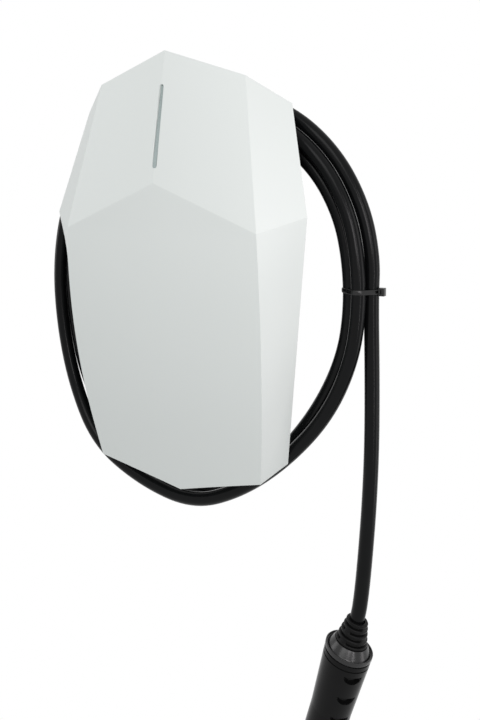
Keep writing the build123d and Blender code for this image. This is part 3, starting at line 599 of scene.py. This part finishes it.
def repeat_tree():
    """Geometry Nodes: one shape on every point, stretched along Y by the point's own length."""
    tree = bpy.data.node_groups.new("repeat_on_points", "GeometryNodeTree")
    for name, kind in (("Points", "Geometry"), ("Shape", "Object"), ("Finish", "Material")):
        tree.interface.new_socket(name, in_out="INPUT", socket_type="NodeSocket" + kind)
    tree.interface.new_socket("Result", in_out="OUTPUT", socket_type="NodeSocketGeometry")
    graph = Graph(tree)
    given = graph.add("NodeGroupInput").outputs
    shape = graph.add("GeometryNodeObjectInfo", {}, {"Object": given["Shape"]})
    length = graph.add("GeometryNodeInputNamedAttribute", {"data_type": "FLOAT"}, {"Name": "length"})
    stretch = graph.add("ShaderNodeCombineXYZ", {}, {"X": 1.0, "Y": length.outputs["Attribute"], "Z": 1.0})
    placed = graph.add("GeometryNodeInstanceOnPoints", {}, {
        "Points": given["Points"], "Instance": shape.outputs["Geometry"], "Scale": stretch.outputs[0]})
    real = graph.add("GeometryNodeRealizeInstances", {}, {"Geometry": placed.outputs[0]})
    finish = graph.add("GeometryNodeSetMaterial", {},
                       {"Geometry": real.outputs[0], "Material": given["Finish"]})
    graph.add("NodeGroupOutput", {}, {"Result": finish.outputs[0]})
    return tree


def repeated(name, slot, shape, places, tree):
    """Plain mesh of the shape at each place and at its mirror image."""
    mirrored = [(side * x, y, z, length) for x, y, z, length in places for side in (-1, 1)]
    mesh = bpy.data.meshes.new(name)
    mesh.from_pydata([Vector(place[:3]) * MM for place in mirrored], [], [])
    lengths = mesh.attributes.new("length", "FLOAT", "POINT")
    lengths.data.foreach_set("value", [place[3] for place in mirrored])
    piece = new_object(name, mesh, slot)
    pattern = bpy.data.objects.new(name + "_shape", shape)
    bpy.context.collection.objects.link(pattern)
    modifier = piece.modifiers.new("repeat", "NODES")
    modifier.node_group = tree
    sockets = {item.name: item.identifier for item in tree.interface.items_tree}
    modifier[sockets["Shape"]] = pattern
    modifier[sockets["Finish"]] = materials[slot]
    apply_modifiers(piece)
    bpy.data.objects.remove(pattern)
    return piece


def unit_post():
    """Hollow post with a flared foot, 1 mm long: its back at 0, its foot in the front's wall.

    Its outline gives the radius in mm and the share of the length.
    """
    flared = POST_RADIUS + POST_FLARE
    outline = [(POST_BORE, 0.6), (POST_BORE, 0.02), (POST_BORE + BORE_CHAMFER, 0.0),
               (POST_RADIUS - POST_CHAMFER, 0.0), (POST_RADIUS, 0.02), (POST_RADIUS, 0.86),
               (POST_RADIUS + POST_FLARE * 0.3, 0.91), (flared, 0.95), (flared, 1.0)]
    bm = bmesh.new()
    angles = even_angles(POST_SIDES)
    rings = [add_ring(bm, [(cos(a) * r, -along, sin(a) * r) for a in angles]) for r, along in outline]
    join_rings(bm, rings)
    for ring in (rings[0], rings[-1]):
        bm.faces.new(ring)
    return new_mesh(bm, "post")


def unit_shelf():
    """Plate 1 mm long."""
    bm = bmesh.new()
    add_box(bm, (-SHELF_WIDTH / 2, -1.0, -SHELF_THICK / 2), (SHELF_WIDTH / 2, 0.0, SHELF_THICK / 2))
    return new_mesh(bm, "shelf")


def make_cover_inside():
    tree = repeat_tree()
    posts = repeated("cover_posts", "white_cover", unit_post(), POST_PLACES, tree)
    shelves = repeated("cover_shelves", "white_cover", unit_shelf(), SHELF_PLACES, tree)
    bevel(shelves, SHELF_ROUND, 2, 30)
    for piece in (posts, shelves):
        smooth_faces(piece, SMOOTH_ANGLE)
        hand_over(piece, "front_cover")


# Cable, in mm: one line from the gland through three turns round the housing to the connector

CABLE = 15.0
LEAD_START, LEAD_RUN, LEAD_TURN, LEAD_BENDS = (30.0, -38.0, -159.0), 43.0, 30.0, 3
JOIN = (-74.0, -38.0, -257.0)       # where the lead swings into the first turn
OUTLINE = [                         # round the coil, from the bottom up the left side
    (0, -283), (-72, -269), (-135, -233), (-177, -172), (-198, -100), (-204, -25), (-190, 48),
    (-152, 108), (-92, 152), (-20, 170), (52, 167), (112, 146), (161, 103), (191, 50),
    (203, -2), (203.5, -57), (190, -113), (159, -171), (113, -223), (60, -262),
]
STATIONS = (0, 2, 3, 5, 9.5, 12, 14.8, 17, 20)      # counted along the outline's points
TURNS = [                           # at each station: how far inside the outline, and the depth
    [(16, -37.8), (26, -38), (36.4, -38.0), (39.2, -35.6), (38.2, -35.5), (34.3, -37), (30.8, -39.7),
     (25, -30), (9, -22)],
    [(9, -22), (13, -23), (20.8, -35.2), (23.7, -38.0), (22.7, -43.0), (20.3, -46), (18.2, -50.2),
     (11, -46), (10, -53.5)],
    [(10, -53.5), (8, -52), (8, -44), (8, -41.3), (7.6, -37.2), (7.4, -37.0), (7.3, -37.2),
     (7.5, -37.7), (7.5, -37.7)],
]
TURN_STARTS, TURN_ENDS = (2, 0, 0), (20, 20, 15)    # which of the outline's points each turn follows
DROP_DEPTH = -37.75
CONNECTOR_TILT = 16.0               # degrees, the connector's lower end leans towards the box
JACKET_INSIDE = 45.0                # how far the cable runs on inside the connector
DROP = [(195.8, -44.0), (197.4, -118.0), (197.6, -190.0), (195.2, -250.0), (191.4, -302.0),
        (187.9, -340.0), (184.0, -366.0)]


def on_turn(i, keys):
    """Point of a turn beside a point of the outline."""
    k = max(j for j in range(len(STATIONS) - 1) if STATIONS[j] <= i)
    share = (i - STATIONS[k]) / (STATIONS[k + 1] - STATIONS[k])
    inside, depth = blend_points(keys[k], keys[k + 1], share)
    before, here, after = (Vector(OUTLINE[(i + d) % len(OUTLINE)]) for d in (-1, 0, 1))
    along = (after - before).normalized()
    spline_cut = ((before + after) / 2 - here).length / 4
    place = here + Vector((along.y, -along.x)) * (inside - spline_cut)
    return (place.x, depth, place.y)


def cable_points():
    points = [LEAD_START]
    for i in range(LEAD_BENDS):
        x, y, z = points[-1]
        turned = radians(i * LEAD_TURN)
        points.append((x - sin(turned) * LEAD_RUN, y, z - cos(turned) * LEAD_RUN))
    points.append(JOIN)
    for keys, first, last in zip(TURNS, TURN_STARTS, TURN_ENDS):
        points += [on_turn(i, keys) for i in range(first, last)]
    end_x, end_z = DROP[-1]
    tilt = radians(CONNECTOR_TILT)
    inside = (end_x - sin(tilt) * JACKET_INSIDE, end_z - cos(tilt) * JACKET_INSIDE)
    return points + [(x, DROP_DEPTH, z) for x, z in DROP + [inside]]


def make_cable():
    curve = bpy.data.curves.new("charging_cable", "CURVE")
    curve.dimensions = "3D"
    points = cable_points()
    spline = curve.splines.new("NURBS")
    spline.points.add(len(points) - 1)
    for point, place in zip(spline.points, points):
        point.co = (*(Vector(place) * MM), 1)
    spline.order_u = 3
    spline.use_endpoint_u = True
    spline.resolution_u = 10
    curve.bevel_depth = CABLE / 2 * MM
    curve.bevel_resolution = 7
    curve.use_fill_caps = True
    cable = bpy.data.objects.new("charging_cable", curve)
    bpy.context.collection.objects.link(cable)
    curve.materials.append(materials["cable_jacket"])
    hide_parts("cable_lead", "cable_coil", "cable_drop")
    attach(cable, "root")


# Surfaces of revolution

CORNER_ROOM = 0.45                  # share of a straight stretch that the arc at its end may take


def rounded(profile, radius, steps=4):
    """Profile with an arc of the given radius at each inner corner that has room for it."""
    points = [Vector(p) for p in profile]
    out = [points[0]]
    for before, here, after in zip(points, points[1:], points[2:]):
        back, forth = (before - here), (after - here)
        bend = pi - back.angle(forth)
        room = min(back.length, forth.length) * CORNER_ROOM
        reach = min(radius * abs(sin(bend / 2) / max(cos(bend / 2), 0.01)), room)
        start, end = here + back.normalized() * reach, here + forth.normalized() * reach
        for i in range(steps + 1):
            u = i / steps
            out.append(start * (1 - u) ** 2 + here * 2 * u * (1 - u) + end * u ** 2)
    return out + [points[-1]]


def revolve(bm, angles, rows, place_at):
    """Closed rings down the axis: place_at(row, angle) gives the radius and the way down."""
    rings = []
    for row in rows:
        ring = []
        for angle in angles:
            radius, down = place_at(row, angle)
            ring.append((cos(angle) * radius, sin(angle) * radius, -down))
        rings.append(add_ring(bm, ring))
    join_rings(bm, rings)


# Connector, in mm down its axis from the top of the boot

BOOT_TOP = (184.0, -37.75, -366.0)
CONNECTOR_PLACE = Matrix.Translation(Vector(BOOT_TOP) * MM)
CONNECTOR_PLACE @= Matrix.Rotation(radians(CONNECTOR_TILT), 4, "Y")
BOOT_LENGTH, BOOT_NARROW, BOOT_WIDE = 24.0, 10.5, 16.0
BOOT_RIBS, BOOT_LIP, BOOT_GROOVE = 4, 2.2, 2.6
BOOT_BRIDGE, BRIDGE_EDGE, BRIDGE_TURN = 17.0, 2.0, 20.0       # degrees
WINDOW_START, WINDOW_END = (0.08, 0.18), (0.48, 0.58)         # shares of the ribs' pitch
BEAD_START, BEAD_HIGH = 0.55, 0.35
BOOT_HOLE, BOOT_SIDE, BOOT_TUCK, BOOT_ROWS, BOOT_SIDES = 7.4, 1.3, 1.2, 150, 180
NUT_CONE, COLLAR_RADIUS, COLLAR_THICK, NECK, NUT_SIDES = 8.0, 24.4, 3.0, 2.0, 160
GRIP_TOP, GRIP_NARROW, GRIP_TAPER, GRIP_LENGTH, GRIP_INSIDE = 24.0, 21.0, 63.0, 146.0, 4.0
RIM_HIGH, RIM_GROOVE = 3.6, 0.8
LIP_ROUND, NUT_ROUND, GRIP_ROUND = 0.8, 0.45, 0.5
RECESS_FIRST, RECESS_PITCH, RECESS_COUNT, RECESS_RAISED = 15.0, 24.0, 5, 0.4
RECESS_HALF, RECESS_HIGH, RECESS_DEEP, RECESS_TURN = 10.0, 6.6, 5.5, -45.0
FLOOR_POWER, SIDE_SLOPE = 5, 2.0    # how late the recess's floor rises, and how steep its sides are
PLAIN_STEP, GROOVE_STEP, FLOOR_STEP, EDGE_STEP = 1.2, 0.2, 0.3, 0.13      # between the grip's rows
FINE_REACH, FINE_COLUMNS, PLAIN_COLUMNS = 30.0, 64, 26        # degrees each side of a recess
FINE_MARGIN, RECESS_EDGE = 0.5, 0.4                           # rows are closest at a recess's top edge
HANDLE_TOP = BOOT_LENGTH + NUT_CONE + COLLAR_THICK + NECK
RECESS_TOP = HANDLE_TOP + RECESS_FIRST - RECESS_HIGH * RECESS_RAISED


def connector_piece(name, slot, bm, sharp, node):
    """Finished piece, moved from the connector's own axis to its place on the cable."""
    mesh = new_mesh(bm, name)
    mesh.transform(CONNECTOR_PLACE)
    piece = new_object(name, mesh, slot)
    smooth_faces(piece, sharp)
    hand_over(piece, node)


def step_between(value, low, high):
    share = min(1.0, max(0.0, (value - low) / (high - low)))
    return share * share * (3 - 2 * share)


def boot_radius(down, angle):
    """Ribs with open windows between them; bridges join the ribs, turned a quarter each time."""
    cone = BOOT_NARROW + (BOOT_WIDE - BOOT_NARROW) * down / BOOT_LENGTH
    pitch = (BOOT_LENGTH - BOOT_LIP) / BOOT_RIBS
    number, along = divmod(down - BOOT_LIP, pitch)
    share = along / pitch
    window = step_between(share, *WINDOW_START) * (1 - step_between(share, *WINDOW_END))
    if down < BOOT_LIP or number >= BOOT_RIBS:
        window = 0.0
    turn = (angle + (number % 2) * pi / 2 + radians(BRIDGE_TURN)) % pi
    from_bridge = min(turn, pi - turn)
    beside_bridge = step_between(from_bridge, radians(BOOT_BRIDGE - BRIDGE_EDGE),
                                 radians(BOOT_BRIDGE + BRIDGE_EDGE))
    bead = BEAD_HIGH * sin(pi * min(1, max(0, (share - BEAD_START) / (1 - BEAD_START))))
    return cone + bead - BOOT_GROOVE * window * beside_bridge


def make_boot():
    """Rubber sleeve with the cable's hole at its top."""
    lip = rounded([(BOOT_HOLE, 1.0), (BOOT_HOLE + 0.2, 0.1), (BOOT_NARROW - 0.1, 0.0),
                   (BOOT_NARROW + 0.3, 1.2)], LIP_ROUND)
    side = BOOT_LENGTH + BOOT_TUCK - BOOT_SIDE
    rows = [("lip", p) for p in lip]
    rows += [("side", BOOT_SIDE + side * i / BOOT_ROWS) for i in range(BOOT_ROWS + 1)]

    def place_at(row, angle):
        kind, value = row
        if kind == "lip":
            return value[0], value[1]
        return boot_radius(min(value, BOOT_LENGTH), angle), value

    bm = bmesh.new()
    revolve(bm, even_angles(BOOT_SIDES), rows, place_at)
    connector_piece("connector_boot_rubber", "boot_rubber", bm, 50, "connector_boot")


def make_cap_nut():
    """Glossy cone inside a thin raised rim, above a neck."""
    top, base = BOOT_LENGTH, BOOT_LENGTH + NUT_CONE
    valley, end = COLLAR_RADIUS - 1.3, base + COLLAR_THICK
    profile = [(BOOT_WIDE - 0.6, top + 2.0), (BOOT_WIDE + 0.3, top), (BOOT_WIDE + 1.0, top + 0.1),
               (21.3, base - 0.2), (22.0, base + 0.7), (valley, base + 0.7), (valley, base - 1.0),
               (COLLAR_RADIUS, base - 1.0), (COLLAR_RADIUS, end), (COLLAR_RADIUS - 1.2, end + 0.6),
               (COLLAR_RADIUS - 1.2, HANDLE_TOP + 0.5), (GRIP_TOP - GRIP_INSIDE, HANDLE_TOP + 0.5)]
    bm = bmesh.new()
    revolve(bm, even_angles(NUT_SIDES), rounded(profile, NUT_ROUND), lambda row, angle: tuple(row))
    connector_piece("connector_cone", "connector_gloss", bm, 35, "connector_cap_nut")


def grip_radius(down):
    share = min(1.0, max(0.0, (down - HANDLE_TOP - RIM_HIGH) / (GRIP_TAPER - RIM_HIGH)))
    radius = GRIP_TOP + (GRIP_NARROW - GRIP_TOP) * share
    groove_middle = HANDLE_TOP + RIM_HIGH + 1.5 * RIM_GROOVE
    groove = 1 - step_between(abs(down - groove_middle), RIM_GROOVE * 0.6, RIM_GROOVE * 1.1)
    return radius - RIM_GROOVE * groove


def recess_depth(down, angle, radius):
    """Half-moon finger recess: flat top, round lower edge, deepest at the top."""
    deepest = 0.0
    for side in (0, 180):
        off = (angle - radians(side + RECESS_TURN) + pi) % (2 * pi) - pi
        across = off * radius / RECESS_HALF
        if abs(across) >= 1:
            continue
        moon = sqrt(1 - across * across)
        for i in range(RECESS_COUNT):
            share = (down - RECESS_TOP - i * RECESS_PITCH) / (RECESS_HIGH * moon)
            if 0 <= share < 1:
                deepest = RECESS_DEEP * (1 - share ** FLOOR_POWER) * min(1.0, SIDE_SLOPE * moon)
    return deepest


def handle_rows():
    """Places down the grip: close together at the groove and in the recesses."""
    groove_end = HANDLE_TOP + RIM_HIGH + 3 * RIM_GROOVE
    rows, down = [], HANDLE_TOP + GRIP_ROUND
    while down < HANDLE_TOP + GRIP_LENGTH - GRIP_ROUND - 0.1:
        rows.append(down)
        into_recess = (down - RECESS_TOP + FINE_MARGIN) % RECESS_PITCH
        if down < groove_end + FINE_MARGIN:
            down += GROOVE_STEP
        elif into_recess < RECESS_EDGE + FINE_MARGIN:
            down += EDGE_STEP
        elif into_recess < RECESS_HIGH + 2 * FINE_MARGIN:
            down += FLOOR_STEP
        else:
            down += PLAIN_STEP
    return rows


def handle_angles():
    """Columns round the grip: close together across the recesses."""
    reach = radians(FINE_REACH)
    angles = []
    for side in (0, 180):
        middle = radians(side + RECESS_TURN)
        angles += [middle - reach + 2 * reach * i / FINE_COLUMNS for i in range(FINE_COLUMNS)]
        angles += [middle + reach + (pi - 2 * reach) * i / PLAIN_COLUMNS for i in range(PLAIN_COLUMNS)]
    return angles


def make_handle():
    """Tapered grip with a rim, a groove and two rows of finger recesses."""
    end = HANDLE_TOP + GRIP_LENGTH
    top_edge = rounded([(GRIP_TOP - GRIP_INSIDE, HANDLE_TOP), (GRIP_TOP, HANDLE_TOP),
                        (GRIP_TOP, HANDLE_TOP + GRIP_ROUND)], GRIP_ROUND)
    low_edge = [(GRIP_NARROW, end - GRIP_ROUND), (GRIP_NARROW - GRIP_ROUND, end), (GRIP_NARROW - 3.0, end)]
    rows = [("edge", p) for p in top_edge]
    rows += [("side", down) for down in handle_rows()]
    rows += [("edge", p) for p in low_edge]

    def place_at(row, angle):
        kind, value = row
        if kind == "edge":
            return value[0], value[1]
        radius = grip_radius(value)
        return radius - recess_depth(value, angle, radius), value

    bm = bmesh.new()
    revolve(bm, handle_angles(), rows, place_at)
    connector_piece("connector_grip", "connector_black", bm, 32, "connector_handle")


# Cable tie round the three strands, in mm

TIE_HEIGHT, TIE_WIDE, TIE_THICK, TIE_SIDES = -36.0, 4.8, 1.2, 96
TIE_GAP, TIE_ROUND = 0.05, 0.4      # from the strap to the strands; rounding of its head
CROWN = 0.3                         # share of the strap's thickness that its edges fall back
STRANDS = [(174.3, -38.8), (187.0, -49.5), (196.2, -37.6)]          # x and depth at the tie
HEAD_LENGTH, HEAD_DEEP, HEAD_HIGH, HEAD_GAP = 6.2, 6.4, 8.0, 0.1
TAIL, TAIL_PLACE = 3.4, 1.5


def strap_ring(radius):
    """Line pulled tight round the strands, at a distance from their middles."""
    ring = []
    for angle in even_angles(TIE_SIDES):
        out = Vector((cos(angle), sin(angle)))
        middle = max((Vector(p) for p in STRANDS), key=lambda p: p.dot(out))
        ring.append(middle + out * radius)
    return ring


def strap_section():
    """Share of the thickness and height for each line of the strap, crowned on the outside."""
    half = TIE_WIDE / 2
    crowned = [half * i / 4 for i in range(4, -5, -1)]
    return [(0, -half), (0, half)] + [(1 - CROWN * (up / half) ** 2, up) for up in crowned]


def make_tie():
    bm = bmesh.new()
    inner = strap_ring(CABLE / 2 + TIE_GAP)
    outer = strap_ring(CABLE / 2 + TIE_GAP + TIE_THICK)
    rings = [add_ring(bm, [(*(p + (q - p) * share), TIE_HEIGHT + up) for p, q in zip(inner, outer)])
             for share, up in strap_section()]
    join_rings(bm, rings + rings[:1])
    edge_x, middle_y = STRANDS[2][0] + CABLE / 2, STRANDS[2][1]
    front = middle_y - HEAD_DEEP / 2
    add_box(bm, (edge_x + HEAD_GAP, front, TIE_HEIGHT - HEAD_HIGH / 2),
            (edge_x + HEAD_GAP + HEAD_LENGTH, middle_y + HEAD_DEEP / 2, TIE_HEIGHT + HEAD_HIGH / 2))
    add_box(bm, (edge_x + TAIL_PLACE, front - TAIL, TIE_HEIGHT - TIE_WIDE / 2),
            (edge_x + TAIL_PLACE + TIE_THICK, front + 1, TIE_HEIGHT + TIE_WIDE / 2))
    strap = new_object("tie_strap", new_mesh(bm, "tie_strap"), "tie_nylon")
    bevel(strap, TIE_ROUND, 3, 60)
    smooth_faces(strap, 40)
    hand_over(strap, "cable_tie")


add_camera()
add_world()
add_lights()
materials = make_materials()
dress_nodes()
make_cover()
make_cover_inside()
make_boot()
make_cap_nut()
make_handle()
make_tie()
make_cable()
bpy.context.scene.view_settings.view_transform = "Standard"
